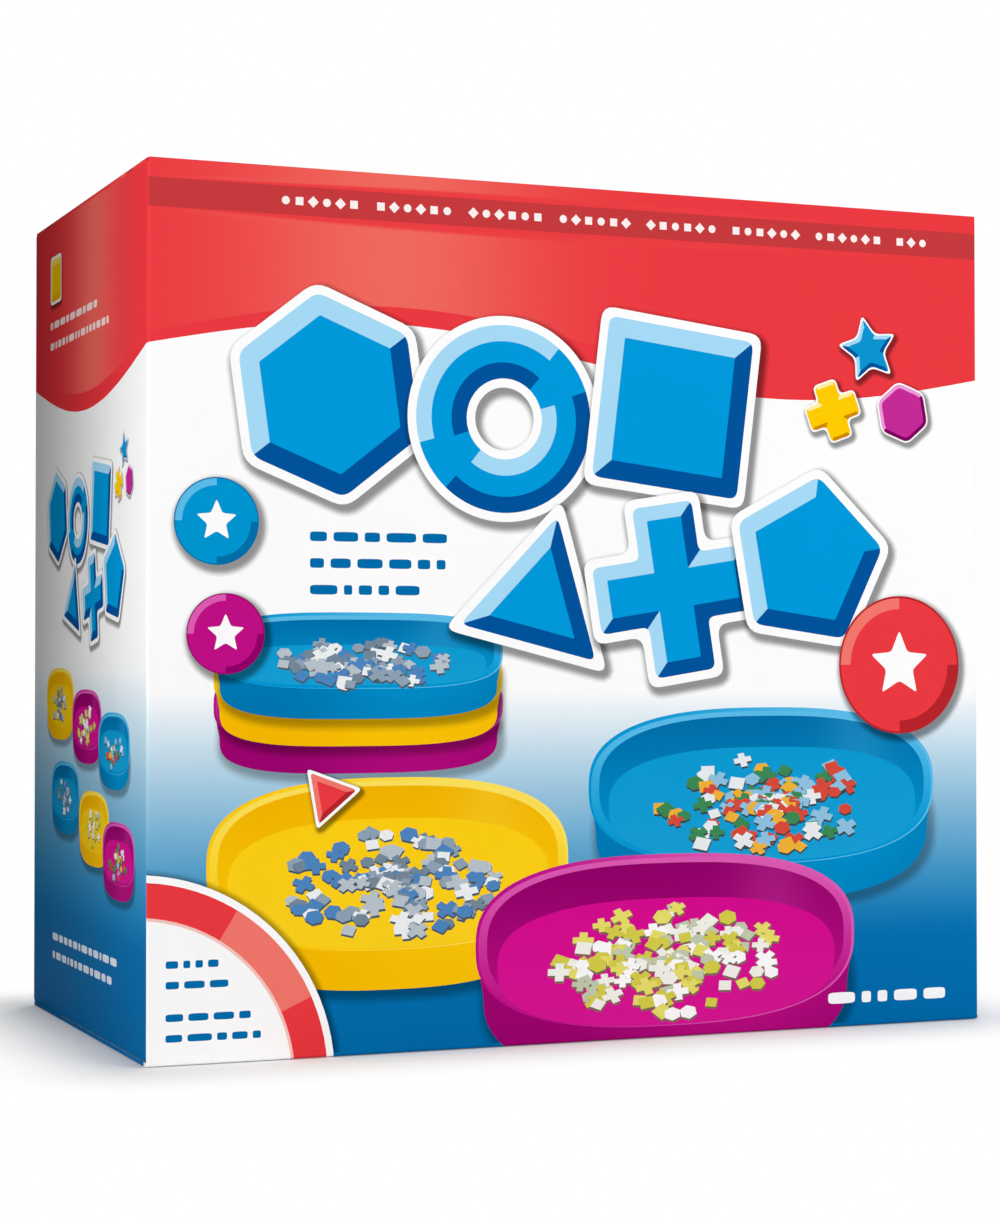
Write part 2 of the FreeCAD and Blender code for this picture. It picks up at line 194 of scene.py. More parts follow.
def to_sides(points, loops):
    """Distance from each point to the nearest side of the loops, and that side's outward normal. Where a corner is
    nearest, its side with the point farther from its line is taken, which parts the two along the mitre."""
    a = np.concatenate(loops)
    b = np.concatenate([np.roll(loop, -1, axis=0) for loop in loops])
    side = b - a
    size = np.maximum((side ** 2).sum(axis=1), 1e-12)
    t = np.clip(((points[:, None] - a) * side).sum(axis=2) / size, 0.0, 1.0)
    off = np.linalg.norm(points[:, None] - (a + t[..., None] * side), axis=2)
    normal = columns(side[:, 1], -side[:, 0]) / np.sqrt(size)[:, None]
    from_line = np.abs(((points[:, None] - a) * normal).sum(axis=2))
    nearest = (off - 0.001 * from_line).argmin(axis=1)
    return off[np.arange(len(points)), nearest], normal[nearest]


# Layers of ink, each a set of loops and what it lays down inside them. "paint" is a function of position, "facets"
# one of the middle of each triangle, and "shade" a factor on what is below. Its "lines" only cut the triangles.

def paint(loops, ink):
    """Lays down ink, a function of position."""
    return {"loops": loops, "kind": "paint", "ink": ink}


def flat(loops, code):
    """One ink all over."""
    return paint(loops, lambda p: np.broadcast_to(rgb(code), p.shape[:-1] + (3,)))


def ramp(loops, low_code, high_code, low, high, axis=1):
    """From one ink at low to another at high, along that axis, eased by 3t^2 - 2t^3."""
    def ink(p):
        t = np.clip((p[..., axis] - low) / (high - low), 0.0, 1.0)
        return blend_inks(rgb(low_code), rgb(high_code), t * t * (3.0 - 2.0 * t))
    return paint(loops, ink)


def red_with_painted_sheen(width, strength, middle, spread):
    """The red ink with a painted sheen: a paler patch, by exp(-((x/width - middle)/spread) squared), that stands in
    for light falling on the red.
    """
    return lambda p: blend_inks(rgb(RED), rgb(RED_PALE_AND_SHEEN),
                                strength * np.exp(-((p[..., 0] / width - middle) / spread) ** 2))


def moved(layer, strip, shift):
    """The part of a layer inside a strip, after a move by shift: its loops squeezed into the strip, without those
    that are left with no height."""
    loops = [np.clip(loop + shift, strip.min(axis=0), strip.max(axis=0)) for loop in layer["loops"]]
    loops = [loop for loop in loops if np.ptp(loop[:, 1]) > 0.05]
    return [{"loops": loops, "kind": layer["kind"], "ink": lambda p: layer["ink"](p - shift)}] if loops else []


def cast_shadow(loops, shift, reach, depth):
    """Darkens what lies below by depth at the shifted outline, easing to nothing at reach outside it."""
    shadow = [loop + np.array(shift) for loop in loops]

    def factor(p):
        points = p.reshape(-1, 2)
        away, _ = to_sides(points, shadow)
        away = np.where(inside(points, shadow), 0.0, away)
        t = np.clip(1.0 - away / reach, 0.0, 1.0)
        return (1.0 - depth * t * t * (3.0 - 2.0 * t)).reshape(p.shape[:-1])

    rings = [grown(loop, reach * k) for loop in shadow for k in (1.0, 0.66, 0.33)]
    return {"loops": rings[:1], "kind": "shade", "ink": factor, "lines": rings[1:] + shadow}


LIGHT_FROM = np.array([-0.55, 0.83])  # the print's own light, from the upper left
LIT, UNLIT = 0.3, -0.25  # above and below these cosines a bevel is light and dark
PRINT_SHADOW = 0.42


def block(shape, bevel, rim=2.8, shadow=2.6, inks=(BLUE_LIGHT, BLUE, BLUE_DARK)):
    """A bevelled block with a white rim and a soft shadow. Its bevels are light, middle or dark in steps, by the
    cosine between their outward normal and the light."""
    outline, mitres, facing = shape
    light, middle, dark = (rgb(code) for code in inks)

    def stepped(p):
        lit = (facing(p) @ LIGHT_FROM)[:, None]
        return np.where(lit > LIT, light, np.where(lit < UNLIT, dark, middle))

    return [
        cast_shadow(outline(rim), (0.4 * shadow, -0.55 * shadow), shadow, PRINT_SHADOW),
        flat(outline(rim), WHITE),
        {"loops": outline(0.0), "kind": "facets", "ink": stepped, "lines": mitres(bevel)},
        flat(outline(-bevel), inks[1]),
    ]


def cornered(points, radius):
    """A block's shape with straight sides: its loops grown by d, the mitre lines from its corners, and the normal
    of the nearest side."""
    return (lambda d: [softened(grown(points, d), max(radius + 0.5 * d, 0.4))],
            lambda bevel: list(columns(points, grown(points, -bevel))),
            lambda p: to_sides(p, [points])[1])


def hoop(centre, outer, inner):
    """A ring's shape. Its normal is away from the centre on the outer half and towards it on the inner half, and its
    mitre lines lie where the ink of the bevels changes."""
    def facing(p):
        away = p - np.array(centre)
        far = np.linalg.norm(away, axis=-1, keepdims=True)
        return away / np.maximum(far, 1e-9) * np.where(far > 0.5 * (outer + inner), 1.0, -1.0)

    def mitres(bevel):
        sun = math.atan2(LIGHT_FROM[1], LIGHT_FROM[0])
        lines = []
        for lean in (math.acos(LIT), -math.acos(LIT), math.acos(UNLIT), -math.acos(UNLIT)):
            spoke = np.array([math.cos(sun + lean), math.sin(sun + lean)])
            lines.append(np.array(centre) + np.outer([outer, outer - bevel], spoke))
            lines.append(np.array(centre) - np.outer([inner, inner + bevel], spoke))
        return lines

    return (lambda d: [disc(centre, outer + d, 90), disc(centre, inner - d, 64)[::-1]]), mitres, facing


def blocks(shapes, *style):
    """One block after another, all with the same bevel, rim and shadow."""
    return [layer for shape in shapes for layer in block(shape, *style)]


def sector(centre, inner, outer, first, last):
    """Part of a ring between two angles in degrees."""
    turn = np.radians(np.linspace(first, last, 24))
    spoke = columns(np.cos(turn), np.sin(turn))
    return np.array(centre) + np.concatenate([outer * spoke, inner * spoke[::-1]])


def badge(centre, radius, hue):
    """A round button: soft shadow, thin dark edge, flat face, a lighter quarter of its ring at the upper left, a
    darker one at the lower right, and a white star."""
    light, middle, dark = DISH_INKS[hue]
    band = radius * 0.81, radius * 0.97
    button = [disc(centre, radius, 72)]
    return [
        cast_shadow(button, (0.9, -1.3), 2.4, PRINT_SHADOW),
        flat(button, dark),
        flat([disc(centre, band[1], 72)], middle),
        flat([sector(centre, *band, 90.0, 180.0)], light),
        flat([sector(centre, *band, 270.0, 360.0)], dark),
        flat([softened(regular(centre, radius * 0.5, 10, 0.0, 0.46), radius * 0.05, 3)], WHITE),
    ]


def tiles(centre, across, up, bits, seed, count):
    """A heap of small tiles, lying flat in perspective: squares, crosses and hexagons, spread as a random number
    to the power 0.85 out from the middle, each with a darker edge below it."""
    draw = np.random.default_rng(seed)
    far = draw.random(count) ** 0.85
    turn = draw.random(count) * 2.0 * np.pi
    kind = draw.integers(0, 3, count)
    lean = draw.uniform(0.0, 90.0, count)
    size = draw.uniform(0.9, 1.3, count) * (0.044 * across + 0.9)
    hue = draw.integers(0, 5, count)
    layers = []
    for k in np.argsort(-np.sin(turn) * far):
        spot = (centre[0] + across * far[k] * math.cos(turn[k]), centre[1] + up * far[k] * math.sin(turn[k]))
        tile = (regular(spot, 1.15 * size[k], 4, lean[k]), plus(spot, 1.2 * size[k], 0.45 * size[k], lean[k]),
                regular(spot, 1.05 * size[k], 6, lean[k]))[kind[k]]
        tile[:, 1] = spot[1] + 0.7 * (tile[:, 1] - spot[1])
        layers.append(flat([tile + np.array([0.15, -0.4 * size[k] ** 0.5])], BITS[bits][5]))
        layers.append(flat([tile], BITS[bits][hue[k]]))
    return layers


def dish(centre, across, up, deep, hue, bits=None, seed=1, squareness=2.6, count=130):
    """An open dish seen from above its front: side wall, rim, inner wall, floor and a heap of tiles. The wall is
    the rim's upper half joined to its lower half moved down by deep, and is lit like a cylinder."""
    light_code, middle_code = DISH_INKS[hue][:2]
    light, middle, dark = (rgb(code) for code in DISH_INKS[hue])
    x, y = centre
    rim = oval(centre, across, up, 88, squareness)
    foot = oval((x, y - deep), across * 0.96, up * 0.96, 88, squareness)
    wall = np.concatenate([rim[:45], foot[44:], foot[:1]])
    lip = 0.045 * across + 0.8
    edge = oval((x, y - 0.12 * lip), across - 0.25 * lip, up - 0.2 * lip, 88, squareness)
    well = oval(centre, across - lip, up - 0.75 * lip, 88, squareness)
    floor = oval((x, y - 0.45 * deep), across - 1.9 * lip, up - 1.9 * lip, 88, squareness)

    def side(p):
        """Lightest a third of the way in from the right, by a cosine of the way across, and darker downwards."""
        t = (p[..., 0] - x) / across
        glow = 0.5 + 0.5 * np.cos(np.pi * np.clip(t - 0.35, -1.0, 1.0))
        fall = np.clip((y - up - p[..., 1]) / deep + 0.55, 0.0, 1.0)
        return blend_inks(blend_inks(middle, dark, 0.7 - 0.7 * glow), dark, 0.35 * fall)

    def inner_side(p):
        """Dark under the far rim, lighter at the near one."""
        t = np.clip((p[..., 1] - (y - 0.7 * up)) / (1.5 * up), 0.0, 1.0)
        glow = 0.25 * np.exp(-((p[..., 0] - x - 0.55 * across) / (0.2 * across)) ** 2)
        return blend_inks(blend_inks(middle, dark, t), light, glow)

    def bed(p):
        """A little lighter towards the near side."""
        near = np.clip((y + 0.6 * up - p[..., 1]) / (2.0 * up), 0.0, 1.0)
        return blend_inks(rgb(DISH_BEDS[hue]), light, 0.2 * near)

    layers = [
        cast_shadow([foot], (1.0, -1.2), 0.04 * across + 1.2, 0.3),
        paint([wall], side),
        ramp([rim], middle_code, light_code, x - across, x + 0.5 * across, 0),
        ramp([edge], middle_code, light_code, y - up, y + up),
        paint([well], inner_side),
        paint([floor], bed),
    ]
    if bits:
        layers += tiles((x, y - 0.45 * deep), 0.6 * across, 0.62 * up, bits, seed, count)
    return layers


def pile(centre, across, up, deep, hues, bits, seed):
    """Closed dishes one on another, the last one open on top."""
    layers = []
    for k, hue in enumerate(hues):
        layers += dish((centre[0], centre[1] + k * deep * 0.86), across, up, deep, hue,
                       bits if k == len(hues) - 1 else None, seed, 3.2, 80)
    return layers


def wave(width, level, swing, bends, thick=None):
    """A field above level + swing sin(pi bends x / width), which is level at both creases, or a band below the
    line, thick times 0.55 + 0.45 sin(pi x / width) in height."""
    past = 6.0  # beyond both creases and the carton's top
    x = np.linspace(-past, width + past, 96)
    line = columns(x, level + swing * np.sin(np.pi * bends * x / width))
    if thick is None:
        return np.concatenate([line, [[width + past, HEIGHT + past], [-past, HEIGHT + past]]])
    down = thick * (0.55 + 0.45 * np.sin(np.pi * x / width))
    return np.concatenate([line - columns(0 * x, down), line[::-1]])


def ribbon(left, right, level, half):
    """A dark band across the red, with a row of small white tiles and dots along its middle."""
    layers = [flat([sheet(level - half, level + half)], RED_DARK)]
    for k, x in enumerate(np.arange(left, right, half)):
        if k % 7 == 6:
            continue
        square = regular((x, level), 0.4 * half, 4, 45.0 * (k % 2))
        layers.append(flat([square if k % 3 else disc((x, level), 0.29 * half, 16)], "#FDF1EF"))
    return layers


def dashes(left, rows, height, code, seed):
    """Rows of short rounded bars of uneven length. Each row is where it ends and its level."""
    layers = []
    for k, (right, level) in enumerate(rows):
        draw = np.random.default_rng(seed + k)
        x = left
        while x < right - height:
            long = min(height * draw.uniform(0.9, 3.4), right - x)
            layers.append(flat([oval((x + 0.5 * long, level), 0.5 * long, 0.5 * height, 20, 5.0)], code))
            x += long + 0.7 * height
    return layers


def ground(width, swing, bends, glow, sea):
    """The ground of a printed panel: white, deepening to blue at the foot, under a red field with a waved edge and a
    painted sheen, a paler patch that stands in for light.
    """
    line = 0.795 * HEIGHT

    def sky(p):
        """Blue at the foot, through a paler blue, to white."""
        t = np.clip(p[..., 1] / (sea * HEIGHT), 0.0, 1.0)
        deep = blend_inks(rgb(SEA_DEEP), rgb(SEA), t * 2.2)
        return blend_inks(deep, rgb(WHITE), (t - 0.28) / 0.72)

    return [
        paint([sheet(-OVERSCAN, HEIGHT + OVERSCAN, width)], sky),
        paint([wave(width, line, swing, bends)], red_with_painted_sheen(width, 0.95, *glow)),
        flat([wave(width, line, swing, bends, -0.022 * HEIGHT)], RED),
    ]


def corner_ring(centre, radius):
    """Rings round a corner of the panel: white edge line, broad red ring with a lighter part, and white middle."""
    broad = radius * 0.965
    return [
        cast_shadow([disc(centre, radius)], (0.5, -0.5), 2.4, 0.35),
        flat([disc(centre, radius)], WHITE),
        ramp([disc(centre, broad)], RED_EDGE, RED, centre[1] - radius, centre[1] + 0.4 * radius),
        flat([sector(centre, radius * 0.79, broad, 24.0, 58.0)], DISH_INKS["red"][0]),
        flat([disc(centre, radius * 0.80)], "#F9C7C2"),
        flat([disc(centre, radius * 0.785)], WHITE),
    ]


def cluster(centre, size):
    """Three small, nearly flat blocks in the three tray colours."""
    x, y = centre
    star = regular((x, y + 0.8 * size), 0.62 * size, 10, 12.0, 0.5)
    cross = plus((x - 0.78 * size, y - 0.4 * size), 0.55 * size, 0.23 * size, 20.0)
    hexagon = regular((x + 0.75 * size, y - 0.38 * size), 0.58 * size, 6, 10.0)
    layers = []
    for outline, corner, inks in ((star, 0.1, (BLUE_LIGHT, "#0A94D0", BLUE_DARK)),
                                  (cross, 0.1, ("#FFF0A0", "#FFCC00", "#D48A00")),
                                  (hexagon, 0.12, ("#F09AD8", "#C52A96", "#7E0062"))):
        layers += block(cornered(outline, corner * size), 0.07 * size, 0.03 * size, 0.1 * size, inks)
    return layers


def front_print():
    """The front: red field and dark ribbon, two rows of blue blocks, dishes, badges and a ringed corner."""
    w, h = WIDTH, HEIGHT
    layers = ground(w, 9.0, 2, (0.27, 0.17), 0.41)
    layers += ribbon(0.15 * w, 0.93 * w, 0.962 * h, 4.3)
    layers += pile((0.235 * w, 0.395 * h), 46.0, 11.5, 9.5, ("magenta", "yellow", "blue"), "cool", 5)
    layers += dish((0.72 * w, 0.295 * h), 62.0, 25.0, 13.0, "blue", "mixed", 11)
    layers += dish((0.27 * w, 0.215 * h), 58.0, 26.0, 13.0, "yellow", "cool", 12)
    layers += dish((0.60 * w, 0.115 * h), 66.0, 27.0, 15.0, "magenta", "warm", 13)
    layers += corner_ring((-4.0, -6.0), 62.0)
    layers += dashes(6.0, ((22.0, 29.5), (27.0, 23.5), (33.0, 14.0), (35.0, 8.0)), 2.2, SEA_DEEP, 60)
    layers += dashes(50.0, ((98.0, 0.585 * h), (94.0, 0.555 * h), (86.0, 0.525 * h)), 2.9, SEA_DEEP, 70)
    layers += block(cornered(regular((56.0, 78.0), 9.0, 3, 40.0), 1.2), 1.6, 0.9, 1.6, DISH_INKS["red"])
    layers += block(cornered(regular((0.20 * w, 0.745 * h), 31.0, 6, 8.0), 3.0), 6.0)
    layers += block(hoop((0.40 * w, 0.725 * h), 29.0, 12.5), 5.0)
    layers += block(cornered(regular((0.605 * w, 0.745 * h), 36.0, 4, 38.0), 3.0), 6.0)
    layers += block(cornered(regular((0.44 * w, 0.515 * h), 27.0, 3, -14.0), 3.0), 5.0)
    layers += block(cornered(plus((0.605 * w, 0.53 * h), 27.0, 10.5, 9.0), 2.5), 4.5)
    layers += block(cornered(regular((0.775 * w, 0.565 * h), 28.0, 5, -8.0), 3.0), 5.5)
    layers += cluster((0.855 * w, 0.775 * h), 17.0)
    layers += badge((0.895 * w, 0.44 * h), 22.5, "red")
    layers += dashes(0.80 * w, [(0.955 * w, 0.035 * h)], 3.6, WHITE, 80)
    layers += badge((0.075 * w, 0.60 * h), 13.0, "blue")
    layers += badge((0.085 * w, 0.475 * h), 12.0, "magenta")
    return layers


def left_print():
    """The left side: the same ground, with smaller blocks, the cluster and six small dishes."""
    w, h = DEPTH, HEIGHT
    layers = ground(w, -13.0, 1, (0.55, 0.2), 0.44)
    layers += dashes(24.0, ((92.0, 0.868 * h), (106.0, 0.842 * h)), 2.4, "#FBE3DF", 91)
    layers += block(cornered(regular((32.0, 0.925 * h), 10.0, 4, 45.0), 1.5), 2.2, 1.0, 1.4, DISH_INKS["yellow"])
    layers += blocks((
        cornered(regular((35.0, 0.625 * h), 15.5, 6, 8.0), 1.6),
        hoop((65.0, 0.615 * h), 14.0, 6.0),
        cornered(regular((96.0, 0.63 * h), 17.5, 4, 38.0), 1.6),
        cornered(regular((58.0, 0.515 * h), 13.5, 3, -14.0), 1.6),
        cornered(plus((86.0, 0.52 * h), 13.5, 5.2, 9.0), 1.4),
        cornered(regular((113.0, 0.54 * h), 14.0, 5, -8.0), 1.6),
    ), 2.8, 1.4, 1.6)
    layers += cluster((126.0, 0.66 * h), 8.5)
    places = ((40.0, 0.40), (78.0, 0.375), (114.0, 0.35), (48.0, 0.285), (88.0, 0.255), (120.0, 0.225))
    hues = ("yellow", "magenta", "blue", "blue", "yellow", "magenta")
    for k, ((x, y), hue) in enumerate(zip(places, hues)):
        layers += dish((x, y * h), 20.0, 9.5, 5.0, hue, ("cool", "warm", "mixed")[k % 3], 20 + k, 2.8, 26)
    return layers + dashes(30.0, ((122.0, 0.10 * h), (112.0, 0.077 * h)), 2.4, "#E6F2FA", 93)


def right_print():
    """The right side: red field, one column of blocks and three open dishes."""
    w, h = DEPTH, HEIGHT
    layers = ground(w, -11.0, 1, (0.5, 0.2), 0.44)
    layers += blocks((
        cornered(regular((44.0, 0.655 * h), 18.0, 5, 6.0), 1.8),
        hoop((82.0, 0.63 * h), 16.0, 6.8),
        cornered(regular((116.0, 0.655 * h), 19.0, 4, 32.0), 1.8),
    ), 3.2, 1.6, 1.8)
    layers += cluster((76.0, 0.90 * h), 9.0)
    layers += badge((32.0, 0.50 * h), 12.0, "red")
    layers += dish((84.0, 0.46 * h), 34.0, 13.0, 8.0, "yellow", "mixed", 31, 2.8, 40)
    layers += dish((72.0, 0.32 * h), 38.0, 15.0, 9.0, "blue", "cool", 32, 2.8, 44)
    layers += dish((88.0, 0.17 * h), 42.0, 17.0, 10.0, "magenta", "warm", 33, 2.8, 48)
    return layers


def back_print():
    """The back: red field, a white card with six small dishes, and the row of blocks."""
    w, h = WIDTH, HEIGHT
    layers = ground(w, 6.0, 3, (0.6, 0.25), 0.41)
    layers += blocks((
        cornered(regular((52.0, 0.84 * h), 17.0, 6, 8.0), 1.8),
        hoop((92.0, 0.83 * h), 16.0, 6.8),
        cornered(regular((134.0, 0.84 * h), 19.0, 4, 38.0), 1.8),
        cornered(plus((176.0, 0.84 * h), 15.0, 5.8, 9.0), 1.6),
    ), 3.2, 1.6, 1.9)
    layers += cluster((228.0, 0.855 * h), 10.0)
    card = softened(np.array([[24.0, 28.0], [w - 24.0, 28.0], [w - 24.0, 0.69 * h], [24.0, 0.69 * h]]), 9.0)
    layers += [cast_shadow([card], (0.8, -1.2), 2.8, 0.3), flat([grown(card, 1.2)], RED), flat([card], "#FAFCFD")]
    hues = ("blue", "yellow", "magenta", "magenta", "blue", "yellow")
    for k, hue in enumerate(hues):
        x, y = 68.0 + (k % 3) * 73.0, (0.52 if k < 3 else 0.26) * h
        layers += dish((x, y), 29.0, 14.0, 8.0, hue, ("cool", "warm", "mixed")[k % 3], 40 + k, 2.8, 34)
        layers += dashes(x - 16.0, [(x + 14.0, y - 30.0)], 1.8, "#7FA0B8", 100 + k)
    return layers


def lid_print():
    """The lid: red all over, lighter in the middle by a painted sheen, with the row of blocks and the cluster."""
    w, h = WIDTH, DEPTH
    layers = [paint([sheet(-OVERSCAN, h + OVERSCAN)], red_with_painted_sheen(w, 0.9, 0.5, 0.4))]
    layers += ribbon(0.08 * w, 0.92 * w, 0.87 * h, 5.2)
    layers.append(flat([wave(w, 0.2 * h, 5.0, 2, 1.1)], RED_PALE_AND_SHEEN))
    layers.append(flat([wave(w, 0.15 * h, 5.0, 2, 2.4)], RED_DARK))
    layers += block(cornered(regular((48.0, 0.5 * h), 26.0, 6, 8.0), 2.4), 5.0)
    layers += block(hoop((104.0, 0.48 * h), 25.0, 10.5), 4.6)
    layers += block(cornered(regular((160.0, 0.5 * h), 29.0, 4, 38.0), 2.4), 5.0)
    layers += block(cornered(plus((213.0, 0.48 * h), 24.0, 9.0, 9.0), 2.0), 4.2)
    layers += cluster((252.0, 0.54 * h), 11.0)
    return layers


def foot_print(turned):
    """The bottom: blue with a white line round it, and beyond turned the lowest strip of the front's print."""
    w, h, edge = WIDTH, DEPTH, 14.0
    line = softened(np.array([[edge, edge], [w - edge, edge], [w - edge, h - edge], [edge, h - edge]]), 8.0)
    strip = sheet(turned - 2.5, turned + OVERSCAN)
    layers = [
        ramp([sheet(-OVERSCAN, h + OVERSCAN)], SEA_DEEP, SEA, 0.0, h),
        flat([line], "#CFE6F4"),
        ramp([grown(line, -0.8)], SEA_DEEP, SEA, 0.0, h),
        flat([strip], SEA_DEEP),
    ]
    for layer in front_print():
        if layer["kind"] != "shade" and min(loop[:, 1].min() for loop in layer["loops"]) < BOARD:
            layers += moved(layer, strip, np.array([0.0, turned]))
    return layers


def tuck_print():
    """The tuck flap: the lid's red."""
    return [ramp([sheet(-2.0 * TUCK_LENGTH, OVERSCAN)], RED, "#EE4048", -TUCK_LENGTH, 0.0)]


# Panels of board: the print is cut into triangles along its outlines and laid on the panel

RIM_STEP = 4.0  # millimetres between the points of a panel's outline, at least
GRID = 4.5  # millimetres between the grid points inside it


def rectangle(left, low, right, high):
    """A rectangle's outline, in equal steps along each side."""
    across = np.linspace(left, right, max(int((right - left) / RIM_STEP), 2) + 1)
    up = np.linspace(low, high, max(int((high - low) / RIM_STEP), 2) + 1)
    row, column = np.ones(len(across) - 1), np.ones(len(up) - 1)
    return np.concatenate([columns(across[:-1], low * row), columns(right * column, up[:-1]),
                           columns(across[:0:-1], high * row), columns(left * column, up[:0:-1])])


def sides_crossed(corners):
    """The cross product of two sides of each triangle, (b - a) x (c - a)."""
    return np.cross(corners[:, 1] - corners[:, 0], corners[:, 2] - corners[:, 0])


def triangles(outline, layers, lines):
    """Triangles inside the outline whose sides follow every loop of every layer, with a grid of points between,
    so that a soft change of colour runs from corner to corner. Returns points, triangles and their colours."""
    low, high = outline.min(axis=0), outline.max(axis=0)
    loops = [outline]
    for layer in layers:
        loops += layer["loops"] + list(layer.get("lines", ()))
    across, up = (np.arange(low[k] + GRID, high[k] - 0.3 * GRID, GRID) for k in (0, 1))
    points = [np.stack(np.meshgrid(across, up), axis=-1).reshape(-1, 2)]
    edges, start = [], len(points[0])
    for loop, closed in [(loop, True) for loop in loops] + [(line, False) for line in lines]:
        number = np.arange(len(loop))
        pairs = columns(number, (number + 1) % len(loop))
        edges.append(start + (pairs if closed else pairs[:-1]))
        points.append(loop)
        start += len(loop)
    points = np.concatenate(points)
    made = delaunay_2d_cdt([Vector(p) for p in points.tolist()], np.concatenate(edges).tolist(), [], 0, 1e-4)
    flat_points = np.array([p[:] for p in made[0]])
    faces = np.array(made[2])
    corners = flat_points[faces]
    middle = corners.mean(axis=1)
    area = sides_crossed(corners)
    kept = inside(middle, [outline]) & (np.abs(area) > 1e-7)
    faces, middle, area = faces[kept], middle[kept], area[kept]
    faces[area < 0] = faces[area < 0][:, ::-1]
    used, faces = np.unique(faces, return_inverse=True)
    flat_points, faces = flat_points[used], faces.reshape(-1, 3)
    corners = flat_points[faces]
    ink = np.ones(corners.shape[:2] + (3,))
    for layer in layers:
        box = np.concatenate(layer["loops"])
        near = np.flatnonzero(((middle > box.min(axis=0)) & (middle < box.max(axis=0))).all(axis=1))
        near = near[inside(middle[near], layer["loops"])]
        if not len(near):
            continue
        if layer["kind"] == "paint":
            ink[near] = layer["ink"](corners[near])
        elif layer["kind"] == "facets":
            ink[near] = layer["ink"](middle[near])[:, None]
        else:
            ink[near] *= layer["ink"](corners[near])[..., None]
    return flat_points, faces, ink


def border(faces):
    """The directed sides that belong to one triangle only."""
    sides = np.concatenate([faces[:, [0, 1]], faces[:, [1, 2]], faces[:, [2, 0]]])
    size = int(faces.max()) + 1
    key = sides[:, 0].astype(np.int64) * size + sides[:, 1]
    back = sides[:, 1].astype(np.int64) * size + sides[:, 0]
    return sides[~np.isin(key, back)]


def placed(name, data):
    """An object with that data, in the scene."""
    made = bpy.data.objects.new(name, data)
    bpy.context.scene.collection.objects.link(made)
    return made


def flatten(places):
    """Two coordinates of places on a flat sheet, along its two longest directions."""
    centre = places.mean(axis=0)
    directions = np.linalg.svd(places - centre, full_matrices=False)[2]
    return (places - centre) @ directions[:2].T


def board_panel(name, body, node, outline, layers, outer, inner, lines=(), raw_edge=False):
    """A closed sheet of board: printed outer face, plain inner face, and edges that are raw or take on the ink
    next to them. outer and inner turn points of the print into places in the frame. The inner face has its own
    triangles inside the moved border."""
    points, faces, ink = triangles(outline, layers, lines)
    rim = border(faces)
    rim_points = np.unique(rim)
    front, back = outer(points), inner(points)[rim_points]
    place = np.full(len(points), -1)
    place[rim_points] = np.arange(len(rim_points))
    flat_rim = flatten(back)
    sides = [pair for pair in place[rim].tolist() if np.linalg.norm(flat_rim[pair[0]] - flat_rim[pair[1]]) > 1e-6]
    made = delaunay_2d_cdt([Vector(p) for p in (flat_rim * 1000.0).tolist()], sides, [], 1, 1e-4)
    offset = len(points)
    source = np.array([owners[0] if owners else -1 for owners in made[3]])
    inner_faces = source[np.array(made[2])]
    inner_faces = offset + inner_faces[(inner_faces >= 0).all(axis=1)]
    quads = columns(rim[:, 1], rim[:, 0], offset + place[rim[:, 0]], offset + place[rim[:, 1]])
    normal = sides_crossed(front[faces[:1]])[0]
    vertices = np.concatenate([front, back])
    wrong = (sides_crossed(vertices[inner_faces]) @ normal) > 0
    inner_faces[wrong] = inner_faces[wrong][:, ::-1]
    mesh = bpy.data.meshes.new(name)
    mesh.from_pydata(vertices.tolist(), [], faces.tolist() + quads.tolist() + inner_faces.tolist())
    kinds = np.repeat([0, 2 if raw_edge else 0, 1], [len(faces), len(quads), len(inner_faces)])
    mesh.polygons.foreach_set("material_index", kinds.astype(np.int32))
    colours = np.ones((len(mesh.loops), 4), np.float32)
    at_point = np.ones((len(points), 3))
    at_point[faces.ravel()] = ink.reshape(-1, 3)
    edge_ink = at_point[rim[:, [1, 0, 0, 1]]]
    inked = np.concatenate([linear(ink).reshape(-1, 3), linear(edge_ink).reshape(-1, 3)])
    colours[:len(inked), :3] = inked
    mesh.color_attributes.new("ink", "FLOAT_COLOR", "CORNER").data.foreach_set("color", colours.ravel())
    work = bmesh.new()
    work.from_mesh(mesh)
    bmesh.ops.remove_doubles(work, verts=work.verts, dist=1e-6)
    bmesh.ops.dissolve_degenerate(work, edges=work.edges, dist=1e-7)
    work.to_mesh(mesh)
    work.free()
    for material in (film, inside_board, cut_edge):
        mesh.materials.append(material)
    piece = placed(name, mesh)
    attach(piece, body)
    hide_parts(node)


# Finishes

def link(tree, node, links):
    """Links inputs of a node to (node, output) pairs."""
    for key, (source, output) in links.items():
        tree.links.new(source.outputs[output], node.inputs[key])


def add(tree, kind, settings=None, links=None, **values):
    """Adds a node, sets its properties and input values, and links its inputs."""
    node = tree.nodes.new(kind)
    for key, value in values.items():
        setattr(node, key, value)
    for key, value in (settings or {}).items():
        node.inputs[key].default_value = value
    link(tree, node, links or {})
    return node


def finish(name, shader, kind="ShaderNodeBsdfPrincipled"):
    """A material with one shader of that kind; returns the material, its tree and the shader."""
    material = bpy.data.materials.new(name)
    material.use_nodes = True
    tree = material.node_tree
    tree.nodes.clear()
    surface = add(tree, kind, shader)
    add(tree, "ShaderNodeOutputMaterial", links={"Surface": (surface, "BSDF")})
    return material, tree, surface


def per_metre(size):
    """The noise scale whose features lie about size millimetres apart."""
    return 1.0 / (size * MM)


VARNISH_PATCH = 18.2  # millimetres between thicker and thinner varnish
BOARD_FIBRE = 1.11  # a real fibre clump is about 0.3 mm; drawn coarser, so that it shows
MOULD_FLOW = 143.0  # from one flow mark to the next
MOULD_SKIN = 0.625  # a polished mould's texture is finer still; drawn coarser, so that it shows


